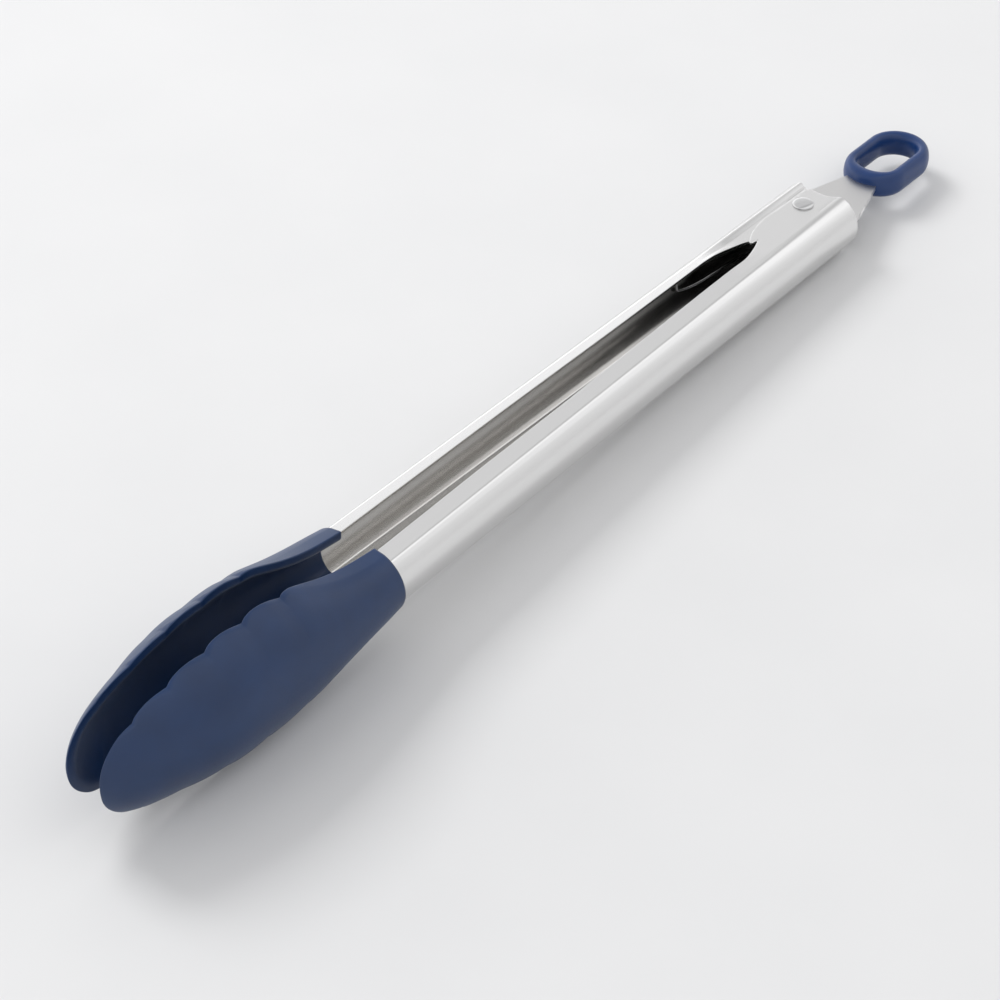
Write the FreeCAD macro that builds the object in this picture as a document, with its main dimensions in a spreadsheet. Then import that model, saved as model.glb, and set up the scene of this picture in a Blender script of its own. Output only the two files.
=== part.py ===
"""Locking kitchen tongs, 12 inch size: two sprung steel arms with silicone heads.

Millimetres. The tongs lie on their side, locked shut. +X points along them
towards the hanging ring, +Y towards the rear arm and +Z up. The model is drawn
around the pivot and every piece is then placed so that the origin is under the
middle of the whole object, on the surface that it lies on.
"""
import FreeCAD, Part
import os
import Sketcher
from FreeCAD import Placement, Rotation, Vector
from math import atan2, pi, sqrt

DOCUMENT = FreeCAD.newDocument("tongs")
SHEET_NAME = "Sizes"

# Driving dimensions. Lengths along the tongs are measured from the pivot.
SIZES = {
    "pivot_x": 117.0,         # pivot to the middle of the whole object
    "pivot_up": 20.15,        # height of the middle plane above the surface
    # arms: sheet steel channels, open towards each other
    "steel": 0.8,
    "tail_end": 10.4,
    "ear_start": -26.0,       # the ears are flat from here to the tail
    "flare_end": -44.0,       # the flanges are flared from here to the head
    "sleeve_end": -199.0,
    "bend_tail": 7.55,        # distance of the bend from the middle plane
    "bend_ear": 8.06,
    "bend_flare": 8.3,
    "bend_sleeve": 10.35,
    "rise_tail": 8.05,        # height of the bend above the middle plane
    "rise_sleeve": 7.6,
    "back_tail": 12.75,       # distance of the rounded back from the middle plane
    "back_ear": 12.85,
    "back_flare": 12.85,
    "back_sleeve": 13.8,
    "mouth_rise": 9.2,        # height of the flared edges
    "mouth_drop": 0.7,        # how much lower they are inside the sleeve
    "mouth_start": 3.9,       # distance of the flared edge where the ear begins
    "mouth_sleeve": 6.2,
    "outer_ear": 8.4,         # top faces of the two pairs of ears
    "inner_ear": 7.2,
    "ear_knee": 6.1,
    "ear_reach": 5.4,         # how far an ear crosses the middle plane
    "ear_trim": 1.0,
    # pivot
    "rivet_radius": 2.0,
    "rivet_head_radius": 3.15,
    "rivet_dome": 1.15,
    "pin_clearance": 0.05,
    "sleeve_radius": 2.7,
    "washer_radius": 4.6,
    "washer_thick": 0.3,
    # spring
    "wire": 1.0,
    "coil_radius": 3.4,
    "coil_gap": 0.25,
    "coil_length": 5.0,
    "leg_end": -47.0,
    "leg_rise": 2.1,
    "leg_reach": 10.9,
    # lock plate and hanging ring
    "plate_thick": 1.5,
    "plate_inner_end": -8.0,
    "plate_inner_half": 5.0,
    "plate_shoulder": 9.6,
    "plate_shoulder_half": 11.55,
    "plate_neck": 33.0,
    "plate_neck_half": 4.8,
    "travel": 10.0,
    "ring_start": 31.0,
    "ring_length": 30.5,
    "ring_width": 19.5,
    "ring_wall": 4.0,
    "ring_thick": 7.8,
    "ring_round": 1.85,
    "loop_inset": 1.2,
    "loop_width": 1.6,
    # silicone heads
    "skin": 1.4,              # silicone outside the steel
    "wall": 3.0,              # whole silicone wall
    "core_margin": 3.2,       # from the steel's edge to the silicone's rim
    "notch_radius": 2.6,
    "notch_first": -234.5,
    "notch_pitch": 12.7,
}

# Head sections from the sleeve to the tip: place, rim, half height, depth.
HEAD_SECTIONS = (
    (-199.0, 5.2, 9.6, 15.2),
    (-213.0, 5.3, 11.7, 16.5),
    (-223.0, 5.5, 14.9, 17.2),
    (-232.0, 5.7, 18.3, 17.5),
    (-245.0, 5.8, 19.9, 17.4),
    (-259.0, 5.6, 19.4, 17.0),
    (-273.0, 5.4, 17.1, 14.4),
    (-285.0, 5.3, 13.8, 11.4),
    (-292.0, 5.2, 9.6, 8.5),
    (-295.5, 5.1, 5.0, 6.3),
)
HEAD_COLUMNS = ("head_x", "head_rim", "head_high", "head_deep")
NOTCH_HEIGHTS = (17.2, 18.3, 17.3, 15.6, 12.5)
CORE_SECTIONS = range(1, 8)   # the head sections that hold the arm's steel

# Where each arm's flange ends and its ear begins, seen along the pivot. A pair of
# neighbouring points with a third one between them is joined by an arc.
EAR_BEGIN = -37.4              # the flange's edge runs straight up to here
ROUNDED_EAR = ((-26.5, 1.3),)
ROUNDED_EAR_ARCS = {2: (-31.0, 3.0), 3: (-19.5, -3.3)}
LOBED_EAR = ((-23.6, 0.25), (-25.6, 0.15), (-25.3, -1.4))
LOBED_EAR_ARCS = {2: (-29.9, 2.35), 4: (-26.4, -0.6), 5: (-20.0, -3.85)}
EAR_SIDE_START = -12.8         # the ear's free side is nearly straight from here
EAR_END = ((8.5, -3.6), (8.2, -1.0), (8.2, 2.8), (9.7, 5.6))
PAST_END = 1.0                 # how far cuts run beyond the sheet's ends
PAST_SIDE = 3.0
EAR_BITE = 0.05                # how far the ear's cut starts inside the flange edge
HIDDEN_CUT = 8.0               # how far the flange's cut runs on inside the head
HOLLOW_OPENING = 2.0           # how far the hollow's outline passes the rim
DOME_SHARE = 0.55              # how much of a rivet head's height is its dome


class Size:
    """A length with its number and the expression that gives it in the document."""

    def __init__(self, number, text):
        self.number = number
        self.text = text

    def _with(self, other, sign, number):
        other_text = other.text if isinstance(other, Size) else repr(other)
        return Size(number, f"({self.text} {sign} {other_text})")

    def __add__(self, other):
        return self._with(other, "+", self.number + number_of(other))

    def __sub__(self, other):
        return self._with(other, "-", self.number - number_of(other))

    def __mul__(self, other):
        return self._with(other, "*", self.number * number_of(other))

    def __truediv__(self, other):
        return self._with(other, "/", self.number / number_of(other))

    def __neg__(self):
        return Size(-self.number, f"(-1 * {self.text})")

    def root(self):
        return Size(sqrt(self.number), f"sqrt({self.text})")


def number_of(value):
    return value.number if isinstance(value, Size) else float(value)


def make_sheet():
    """Write every driving dimension into the spreadsheet, one alias each."""
    sheet = DOCUMENT.addObject("Spreadsheet::Sheet", SHEET_NAME)
    rows = dict(SIZES)
    for index, section in enumerate(HEAD_SECTIONS):
        for column, value in zip(HEAD_COLUMNS, section):
            rows[f"{column}_{'abcdefghij'[index]}"] = value
    for index, value in enumerate(NOTCH_HEIGHTS):
        rows[f"notch_rise_{'abcde'[index]}"] = value
    for row, (alias, value) in enumerate(rows.items(), start=1):
        sheet.set(f"A{row}", alias)
        sheet.set(f"B{row}", str(value))
        sheet.setAlias(f"B{row}", alias)
    DOCUMENT.recompute()
    return {alias: Size(value, f"{SHEET_NAME}.{alias}") for alias, value in rows.items()}


size = make_sheet()


def head_sizes(index):
    """Place, rim distance, half height and depth of one head section."""
    letter = "abcdefghij"[index]
    return [size[f"{column}_{letter}"] for column in HEAD_COLUMNS]


def bind(thing, path, value):
    """Tie a property to the sheet."""
    thing.setExpression(path, value.text)


def place(thing, turned=False):
    """Put a piece, drawn around the pivot, into the object's own frame."""
    turn = Rotation(Vector(1, 0, 0), 180) if turned else Rotation()
    thing.Placement = Placement(Vector(), turn)
    bind(thing, "Placement.Base.x", size["pivot_x"])
    bind(thing, "Placement.Base.z", size["pivot_up"])


def new_body(label):
    body = DOCUMENT.addObject("PartDesign::Body", label)
    body.Label = label
    return body


def origin_plane(body, role):
    return next(part for part in body.Origin.OriginFeatures if part.Role == role)


def new_sketch(body, name, role, offset=None):
    """A sketch on one of the body's own planes, moved along its normal."""
    sketch = body.newObject("Sketcher::SketchObject", name)
    sketch.AttachmentSupport = [(origin_plane(body, role), "")]
    sketch.MapMode = "FlatFace"
    if offset is not None:
        sketch.AttachmentOffset = Placement(Vector(0, 0, offset.number), Rotation())
        bind(sketch, "AttachmentOffset.Base.z", offset)
    return sketch


def pin_point(sketch, geometry, point, at):
    """Fix one point of the sketch at two sizes."""
    for kind, value in zip(("DistanceX", "DistanceY"), at):
        number = sketch.addConstraint(
            Sketcher.Constraint(kind, -1, 1, geometry, point, number_of(value)))
        if isinstance(value, Size):
            bind(sketch, f"Constraints[{number}]", value)


def flat(point):
    return Vector(number_of(point[0]), number_of(point[1]), 0)


def arc_through(start, middle, end):
    """The arc through three points, drawn anticlockwise as a sketch needs it."""
    circle = Part.Arc(start, middle, end).toShape().Curve
    centre = circle.Center
    angles = [atan2(p.y - centre.y, p.x - centre.x) for p in (start, middle, end)]
    forward = (angles[1] - angles[0]) % (2 * pi) < (angles[2] - angles[0]) % (2 * pi)
    low, high = (angles[0], angles[2]) if forward else (angles[2], angles[0])
    upright = Part.Circle(centre, Vector(0, 0, 1), circle.Radius)
    return Part.ArcOfCircle(upright, low, high if high > low else high + 2 * pi)


def draw_outline(sketch, points, arcs):
    """Draw a closed outline. arcs maps a side's number to a point that it passes."""
    first = sketch.GeometryCount
    count = len(points)
    ends = []
    for side in range(count):
        start, end = flat(points[side]), flat(points[(side + 1) % count])
        if side in arcs:
            edge = arc_through(start, flat(arcs[side]), end)
        else:
            edge = Part.LineSegment(start, end)
        starts_here = edge.StartPoint.distanceToPoint(start) < 1e-6
        ends.append((1, 2) if starts_here else (2, 1))
        sketch.addGeometry(edge, False)
    for side in range(count):
        after = (side + 1) % count
        sketch.addConstraint(Sketcher.Constraint(
            "Coincident", first + side, ends[side][1], first + after, ends[after][0]))
        pin_point(sketch, first + side, ends[side][0], points[side])
    for side, middle in arcs.items():
        mark = sketch.addGeometry(Part.Point(flat(middle)), True)
        pin_point(sketch, mark, 1, middle)
        sketch.addConstraint(
            Sketcher.Constraint("PointOnObject", mark, 1, first + side))


def draw_circle(sketch, across, up, radius):
    circle = Part.Circle(flat((across, up)), Vector(0, 0, 1), radius.number)
    geometry = sketch.addGeometry(circle, False)
    pin_point(sketch, geometry, 3, (across, up))
    number = sketch.addConstraint(
        Sketcher.Constraint("Radius", geometry, radius.number))
    bind(sketch, f"Constraints[{number}]", radius)


def loft(body, name, kind, sketches, ruled):
    feature = body.newObject(f"PartDesign::{kind}Loft", name)
    feature.Profile = sketches[0]
    feature.Sections = sketches[1:]
    feature.Ruled = ruled
    return feature


def pad(body, name, sketch, length, both_ways=False):
    feature = body.newObject("PartDesign::Pad", name)
    feature.Profile = sketch
    feature.Midplane = both_ways
    bind(feature, "Length", length)
    return feature


def cut_through(body, name, sketch):
    """Cut the sketch out of the body, right through on both sides of its plane."""
    feature = body.newObject("PartDesign::Pocket", name)
    feature.Profile = sketch
    feature.Midplane = True
    feature.Type = "ThroughAll"
    return feature


def mirrored(points):
    """Close a profile with the same points below the middle plane."""
    return points + [(across, -up) for across, up in reversed(points)]


def channel_profile(mouth, knee, bend, back):
    """Points of a channel's section in sheet steel, and the middles of its arcs."""
    steel = size["steel"]
    outer = mirrored([mouth, knee, bend])
    inner = mirrored([(mouth[0], mouth[1] - steel),
                      (knee[0], knee[1] - steel),
                      (bend[0] - steel * 0.5, bend[1] - steel)])
    return outer + inner[::-1], {2: (back, 0.0), 8: (back - steel, 0.0)}


def channel_section(body, name, station, mouth, knee, bend, back):
    sketch = new_sketch(body, name, "YZ_Plane", station)
    draw_outline(sketch, *channel_profile(mouth, knee, bend, back))
    return sketch


def core_profile(index):
    """The steel inside one head section: a strip of a circle inside the silicone."""
    _, rim, high, deep = head_sizes(index)
    rise = deep - rim
    radius = (high * high + rise * rise) / (rise * 2)
    centre = deep - radius
    outside = radius - size["skin"]
    inside = outside - size["steel"]
    edge_up = high - size["core_margin"]
    points = []
    for share in (1.0, 0.85, 0.6):
        up = edge_up * share
        points.append(((outside * outside - up * up).root(), up))
    outer = mirrored([(centre + across, up) for across, up in points])
    inner = mirrored([(centre + across * inside / outside, up * inside / outside)
                      for across, up in points])
    return outer + inner[::-1], {2: (centre + outside, 0.0), 8: (centre + inside, 0.0)}


def channel_sections(body, ear):
    """Sections of an arm from its tail to the silicone head."""
    knee_ear = (size["ear_knee"], ear)
    reach = (-(size["ear_reach"] + size["ear_trim"]), ear)
    rise = size["rise_tail"]
    mouth_flare = (size["mouth_start"] - size["ear_trim"], size["mouth_rise"])
    mouth_sleeve = (size["mouth_sleeve"] - size["ear_trim"],
                    size["mouth_rise"] - size["mouth_drop"])
    bend_flare = (size["bend_flare"], rise)
    bend_sleeve = (size["bend_sleeve"], size["rise_sleeve"])
    return [
        channel_section(body, "TailSection", size["tail_end"], reach, knee_ear,
                        (size["bend_tail"], rise), size["back_tail"]),
        channel_section(body, "EarSection", size["ear_start"], reach, knee_ear,
                        (size["bend_ear"], rise), size["back_ear"]),
        channel_section(body, "FlareSection", size["flare_end"], mouth_flare,
                        between(mouth_flare, bend_flare), bend_flare,
                        size["back_flare"]),
        channel_section(body, "SleeveSection", size["sleeve_end"], mouth_sleeve,
                        between(mouth_sleeve, bend_sleeve), bend_sleeve,
                        size["back_sleeve"]),
    ]


def between(one, other):
    return ((one[0] + other[0]) / 2, (one[1] + other[1]) / 2)


def core_section(body, index):
    sketch = new_sketch(body, f"CoreSection{index}", "YZ_Plane", head_sizes(index)[0])
    draw_outline(sketch, *core_profile(index))
    return sketch


def flange_line(station):
    """Distance of the flared edge from the middle plane at a place along the arm."""
    start = size["mouth_start"]
    slope = (size["mouth_sleeve"] - start) / (size["flare_end"] - size["sleeve_end"])
    return start + slope * (size["flare_end"] - station)


def trim_outline(lobed):
    """Outline of what is cut from an arm's flanges, seen along the pivot."""
    reach = size["ear_reach"]
    hidden = size["sleeve_end"] - HIDDEN_CUT
    far = -reach - PAST_SIDE
    past = size["tail_end"] + PAST_END
    edge = flange_line(size["flare_end"]) - EAR_BITE
    points = [(hidden, far), (hidden, flange_line(hidden)), (EAR_BEGIN, edge)]
    points += LOBED_EAR if lobed else ROUNDED_EAR
    points.append((EAR_SIDE_START, -reach))
    points += EAR_END
    points += [(size["tail_end"], size["bend_tail"]), (past, size["bend_tail"]),
               (past, far)]
    return points, LOBED_EAR_ARCS if lobed else ROUNDED_EAR_ARCS


def make_arm(label, ear, lobed):
    """One arm: a channel with two ears, which runs on as a core inside the head."""
    body = new_body(label)
    sections = channel_sections(body, ear)
    sections += [core_section(body, index) for index in CORE_SECTIONS]
    loft(body, "Channel", "Additive", sections, ruled=True)
    trim = new_sketch(body, "EarOutline", "XY_Plane")
    draw_outline(trim, *trim_outline(lobed))
    cut_through(body, "EarTrim", trim)
    hole = new_sketch(body, "PivotHoleOutline", "XY_Plane")
    draw_circle(hole, 0.0, 0.0, size["rivet_radius"] + size["pin_clearance"])
    cut_through(body, "PivotHole", hole)
    place(body, turned=lobed)
    return body


def head_section(body, name, index, inset):
    """A closed section of the head, or of its hollow when inset is the wall."""
    station, rim, high, deep = head_sizes(index)
    sketch = new_sketch(body, name, "YZ_Plane", station)
    if inset is None:
        points, arcs = mirrored([(rim, high)]), {0: (deep, 0.0)}
    else:
        up = high - inset
        points = mirrored([(rim - HOLLOW_OPENING, up), (rim, up)])
        arcs = {1: (deep - inset, 0.0)}
    draw_outline(sketch, points, arcs)
    return sketch


def make_head(label, arm, turned):
    """A silicone scoop moulded around the arm's core, with a scalloped rim."""
    body = new_body(f"{label}_moulding")
    indices = range(len(HEAD_SECTIONS))
    outer = [head_section(body, f"Outer{i}", i, None) for i in indices]
    loft(body, "Scoop", "Additive", outer, ruled=False)
    inner = [head_section(body, f"Hollow{i}", i, size["wall"]) for i in indices[:-1]]
    loft(body, "Hollow", "Subtractive", inner, ruled=False)
    notches = new_sketch(body, "Notches", "XZ_Plane")
    for index in range(len(NOTCH_HEIGHTS)):
        along = size["notch_first"] - size["notch_pitch"] * index
        up = size[f"notch_rise_{'abcde'[index]}"] + size["notch_radius"]
        draw_circle(notches, along, up, size["notch_radius"])
        draw_circle(notches, along, -up, size["notch_radius"])
    cut_through(body, "Scallops", notches)
    place(body, turned)
    head = DOCUMENT.addObject("Part::Cut", label)
    head.Label = label
    head.Base = body
    head.Tool = arm
    return head


def make_rivet():
    """Solid rivet with a low domed head on each outer ear."""
    body = new_body("pivot_rivet")
    sketch = new_sketch(body, "RivetOutline", "XZ_Plane")
    shank, head = size["rivet_radius"], size["rivet_head_radius"]
    under = size["outer_ear"] + size["pin_clearance"]
    top = under + size["rivet_dome"]
    rise = size["rivet_dome"] * DOME_SHARE
    radius = (head * head + rise * rise) / (rise * 2)
    half_way = head / 2
    crown = top - radius + (radius * radius - half_way * half_way).root()
    points = mirrored([(0.0, top), (head, top - rise), (head, under), (shank, under)])
    arcs = {0: (half_way, crown), 6: (half_way, -crown)}
    draw_outline(sketch, points, arcs)
    turn = body.newObject("PartDesign::Revolution", "Rivet")
    turn.Profile = sketch
    turn.ReferenceAxis = (sketch, ["V_Axis"])
    turn.Angle = 360.0
    place(body)
    return body


def make_ring(label, outside, inside, low, height):
    """A plain round spacer or washer about the pivot."""
    body = new_body(label)
    sketch = new_sketch(body, "Section", "XY_Plane", low)
    draw_circle(sketch, 0.0, 0.0, outside)
    draw_circle(sketch, 0.0, 0.0, inside)
    pad(body, "Ring", sketch, height)
    place(body)
    return body


def make_pivot():
    """The rivet, the sleeve between the inner ears and a washer at each ear."""
    bore = size["rivet_radius"] + size["pin_clearance"]
    gap = size["pin_clearance"]
    reach = size["inner_ear"] - size["steel"] - gap
    low = size["inner_ear"] + gap
    thick = size["washer_thick"]
    return [
        make_rivet(),
        make_ring("pivot_sleeve", size["sleeve_radius"], bore, -reach, reach * 2),
        make_ring("upper_washer", size["washer_radius"], bore, low, thick),
        make_ring("lower_washer", size["washer_radius"], bore, -low - thick, thick),
    ]


def rod(start, end, radius):
    """A straight length of spring wire with round ends, as one solid."""
    along = end - start
    wire = Part.makeCylinder(radius, along.Length, start, along)
    return wire.fuse(Part.makeSphere(radius, start)).fuse(Part.makeSphere(radius, end))


def make_spring():
    """Double torsion spring: a coil above and one below the plate, and their legs.

    Each coil is drawn as the tube that its turns fill. The two rear legs are one
    wire, bent into a bridge that presses on the rear arm; the front legs are free.
    """
    radius = size["wire"].number / 2
    coil, reach = size["coil_radius"].number, size["leg_reach"].number
    end, rise = size["leg_end"].number, size["leg_rise"].number
    low = (size["plate_thick"] / 2 + size["coil_gap"]).number
    length = size["coil_length"].number
    shapes = []
    for side in (1, -1):
        base = Vector(0, 0, low if side > 0 else -low - length)
        tube = Part.makeCylinder(coil + radius, length, base)
        shapes.append(tube.cut(Part.makeCylinder(coil - radius, length, base)))
        for arm in (1, -1):
            root = Vector(0, arm * coil, side * (low + radius))
            tip = Vector(end, arm * reach, side * rise)
            shapes.append(rod(root, tip, radius))
    shapes.append(rod(Vector(end, reach, rise), Vector(end, reach, -rise), radius))
    solid = shapes[0].multiFuse(shapes[1:])
    spring = DOCUMENT.addObject("Part::Feature", "torsion_spring")
    spring.Label = "torsion_spring"
    spring.Shape = solid
    place(spring)
    return spring


def draw_stadium(sketch, start, end, half):
    """A long hole or loop outline with half-round ends, from start to end."""
    points = [(start + half, -half), (end - half, -half),
              (end - half, half), (start + half, half)]
    draw_outline(sketch, points, {1: (end, 0.0), 3: (start, 0.0)})


def make_lock():
    """Wedge plate that blocks the tails, and the silicone ring moulded on it."""
    plate = new_body("lock_plate")
    outline = new_sketch(plate, "Wedge", "XY_Plane")
    half_inner, half_neck = size["plate_inner_half"], size["plate_neck_half"]
    corners = [(size["plate_inner_end"], half_inner),
               (size["plate_shoulder"], size["plate_shoulder_half"]),
               (size["plate_neck"], half_neck)]
    draw_outline(outline, mirrored(corners), {})
    slot_half = size["sleeve_radius"] + size["pin_clearance"]
    draw_stadium(outline, -slot_half, slot_half + size["travel"], slot_half)
    pad(plate, "WedgePlate", outline, size["plate_thick"], both_ways=True)
    start = size["ring_start"] + size["loop_inset"]
    end = size["ring_start"] + size["ring_length"] - size["loop_inset"]
    half = size["ring_width"] / 2 - size["loop_inset"]
    loop = new_sketch(plate, "Loop", "XY_Plane")
    draw_stadium(loop, start, end, half)
    width = size["loop_width"]
    draw_stadium(loop, start + width, end - width, half - width)
    pad(plate, "LoopPlate", loop, size["plate_thick"], both_ways=True)
    place(plate)

    moulding = new_body("ring_moulding")
    sketch = new_sketch(moulding, "RingOutline", "XY_Plane")
    start = size["ring_start"]
    end = start + size["ring_length"]
    half = size["ring_width"] / 2
    wall = size["ring_wall"]
    draw_stadium(sketch, start, end, half)
    draw_stadium(sketch, start + wall, end - wall, half - wall)
    block = pad(moulding, "RingBlock", sketch, size["ring_thick"], both_ways=True)
    DOCUMENT.recompute()
    level = [f"Edge{number}" for number, edge in enumerate(block.Shape.Edges, start=1)
             if abs(edge.BoundBox.ZLength) < 1e-6]
    rounding = moulding.newObject("PartDesign::Fillet", "RingRounding")
    rounding.Base = (block, level)
    bind(rounding, "Radius", size["ring_round"])
    place(moulding)
    ring = DOCUMENT.addObject("Part::Cut", "hang_ring")
    ring.Label = "hang_ring"
    ring.Base = moulding
    ring.Tool = plate
    return [plate, ring]


def make_tongs():
    """Every piece of the tongs. The front arm is the rear one turned over."""
    rear_arm = make_arm("rear_arm", size["inner_ear"], lobed=False)
    front_arm = make_arm("front_arm", size["outer_ear"], lobed=True)
    pieces = [rear_arm, front_arm]
    pieces.append(make_head("rear_head", rear_arm, turned=False))
    pieces.append(make_head("front_head", front_arm, turned=True))
    pieces += make_pivot()
    pieces.append(make_spring())
    pieces += make_lock()
    return pieces


def report_and_export(pieces):
    """Stop on any failed feature, then write one STEP file for each piece."""
    DOCUMENT.recompute()
    for thing in DOCUMENT.Objects:
        if "Invalid" in thing.State or "Error" in thing.State:
            raise RuntimeError(f"{thing.Name} failed: {thing.State}")
    os.makedirs("parts", exist_ok=True)
    for piece in pieces:
        shape = piece.Shape
        if shape.isNull() or not shape.isValid():
            raise RuntimeError(f"{piece.Label} has no valid shape")
        box = shape.BoundBox
        print(f"{piece.Label:16s} solids {len(shape.Solids)} volume {shape.Volume:9.1f}"
              f"  x {box.XMin:7.2f} {box.XMax:7.2f}  y {box.YMin:6.2f} {box.YMax:6.2f}"
              f"  z {box.ZMin:6.2f} {box.ZMax:6.2f}")
        shape.exportStep(f"parts/{piece.Label}.step")


report_and_export(make_tongs())
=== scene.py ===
# Locking kitchen tongs: the detailed pieces, their materials and a plain studio.
#
# Metres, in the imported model's frame. Every piece is drawn in millimetres around
# the pivot, along the arms (negative towards the heads), across (the rear arm's
# back is positive) and up. The front arm and head are drawn like the rear ones and
# then turned half a turn about the length of the tongs. The arms differ only in their
# ears and in the free edges of their flanges.
from math import cos, pi, radians, sin, tau

import bpy
import numpy as np
from mathutils import Matrix, Vector
from mathutils.geometry import delaunay_2d_cdt


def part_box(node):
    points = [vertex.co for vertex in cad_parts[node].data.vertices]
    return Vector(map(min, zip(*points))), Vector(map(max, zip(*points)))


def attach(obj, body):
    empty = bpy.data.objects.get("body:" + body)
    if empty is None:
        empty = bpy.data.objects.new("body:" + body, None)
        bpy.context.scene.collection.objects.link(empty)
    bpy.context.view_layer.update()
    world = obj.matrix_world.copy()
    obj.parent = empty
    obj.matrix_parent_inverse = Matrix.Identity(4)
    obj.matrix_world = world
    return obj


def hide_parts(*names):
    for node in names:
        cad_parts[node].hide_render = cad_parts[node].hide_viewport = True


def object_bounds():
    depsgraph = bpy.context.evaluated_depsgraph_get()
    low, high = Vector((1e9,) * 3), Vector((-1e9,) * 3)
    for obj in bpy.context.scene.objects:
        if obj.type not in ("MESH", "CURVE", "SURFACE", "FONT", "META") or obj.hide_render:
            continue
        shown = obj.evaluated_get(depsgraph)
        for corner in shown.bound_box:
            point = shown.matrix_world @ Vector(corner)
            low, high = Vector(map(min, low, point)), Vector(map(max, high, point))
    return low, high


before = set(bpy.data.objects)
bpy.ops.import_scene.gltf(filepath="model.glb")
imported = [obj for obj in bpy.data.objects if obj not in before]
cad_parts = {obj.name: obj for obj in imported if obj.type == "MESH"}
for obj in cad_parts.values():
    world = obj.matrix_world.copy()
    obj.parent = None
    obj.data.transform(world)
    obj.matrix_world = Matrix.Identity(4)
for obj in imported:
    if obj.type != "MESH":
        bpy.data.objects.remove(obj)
CAD_BOX = [list(corner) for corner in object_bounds()]

MM = 0.001
RIVET_LOW, RIVET_HIGH = (np.array(corner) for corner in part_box("pivot_rivet"))
PIVOT = (RIVET_LOW + RIVET_HIGH) / 2
TINY = 1e-6                   # keeps a division away from zero
SHARP = radians(50)           # edges that turn by more than this are rounded
CLEAR_SHARE = 0.6             # least distance to an outline, as a share of a grid step
SAME_POINT = 1e-7             # points this close count as one when a face is filled


def reach_of(node):
    """The box of a CAD node in millimetres around the pivot."""
    low, high = (np.array(corner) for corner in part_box(node))
    return (low - PIVOT) / MM, (high - PIVOT) / MM


# ------------------------------------------------------------ arm sizes, in mm
STEEL = 0.8
TAIL = reach_of("rear_arm")[1][0]
EAR_START, FLARE_START, SLEEVE_END, ARM_END = -26.0, -44.0, -199.0, -204.0
REAR_EAR, FRONT_EAR = 7.2, 8.4      # heights of the ears' outer faces

# Place along the arm, the bend's distance and height, the back's distance and the
# flared edge's height.
CHANNEL = np.array((
    (SLEEVE_END, 10.35, 7.60, 13.80, 8.5),
    (FLARE_START, 8.30, 8.05, 12.85, 9.2),
    (EAR_START, 8.06, 8.05, 12.85, 9.2),
    (TAIL, 7.55, 8.05, 12.75, 9.2),
))
# Place along the arm and distance at which the flared edge has its height.
MOUTH = ((SLEEVE_END, 5.2), (FLARE_START, 2.9))

SEAM = 5.5                    # where the flat ears join the bent channel
SEAM_DRIFT = 0.011            # how much farther out it lies for each mm to the head
KNEES = {REAR_EAR: 6.1, FRONT_EAR: 6.6}     # where a flat ear starts to bend
KNEE_GAP = 0.45               # least distance from the seam to the knee
KNEE_CUT, BEND_CUT = 0.2, 0.6       # how far the knee and the bend are rounded
KNEE_POINTS, BEND_POINTS = 5, 9
ARC_POINTS, ARC_SKIP = 20, 3        # points of the back, and those the bend replaces
BACK_FULL = 7.5               # distance from which the channel reaches the tail
STRIP_POINTS = 5              # points from a flange's edge to the seam
FLANGE_ROWS, EAR_ROWS = 129, 81
EAR_RIM_STEP, EAR_FILL_STEP = 0.6, 0.8      # spacing of an ear's points
PIVOT_HOLE = 2.05
EDGE_ROUND = 0.36

# Edges of the flanges, as place along the arm and distance, from head to ear.
EDGE_START = -38.0            # where the ears' outlines take over
EAR_END = 9.7
FRONT_EDGE = ((-208.0, 5.7), (-156.0, 4.9), (-122.0, 4.7), (-57.0, 3.6),
              (EDGE_START, 3.45))
REAR_EDGE = ((-208.0, 6.35), (-134.0, 6.0), (-82.0, 5.2), (EDGE_START, 4.95))

# Outlines of the ears, as smooth stretches that meet at sharp corners.
EAR_TAIL = ((8.5, -3.3), (8.3, -1.2), (8.15, 1.0), (8.3, 2.9), (8.9, 4.4),
            (EAR_END, SEAM))
FRONT_OUTLINE = (
    ((EDGE_START, 3.45), (-34.6, 3.3), (-31.0, 2.6), (-27.7, 1.7), (-25.3, 0.9),
     (-23.9, 0.3)),
    ((-23.9, 0.3), (-24.7, 0.05), (-25.7, -0.1), (-26.2, -0.7), (-25.4, -1.4),
     (-21.3, -3.3), (-17.4, -4.25), (-14.3, -4.65), (-10.2, -4.65),
     (-5.3, -4.5), (-0.6, -4.2), (4.2, -3.9), (8.0, -3.6), (8.5, -3.3)),
    EAR_TAIL,
)
REAR_OUTLINE = (
    ((EDGE_START, 4.95), (-35.0, 4.75), (-31.5, 4.3), (-28.7, 3.8), (-25.8, 3.0),
     (-24.3, 2.1), (-23.0, 0.6), (-20.5, -2.0), (-18.0, -3.6), (-15.5, -4.5),
     (-12.8, -4.6), (-5.3, -4.5), (-0.6, -4.2), (4.2, -3.9), (8.0, -3.6),
     (8.5, -3.3)),
    EAR_TAIL,
)

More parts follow.
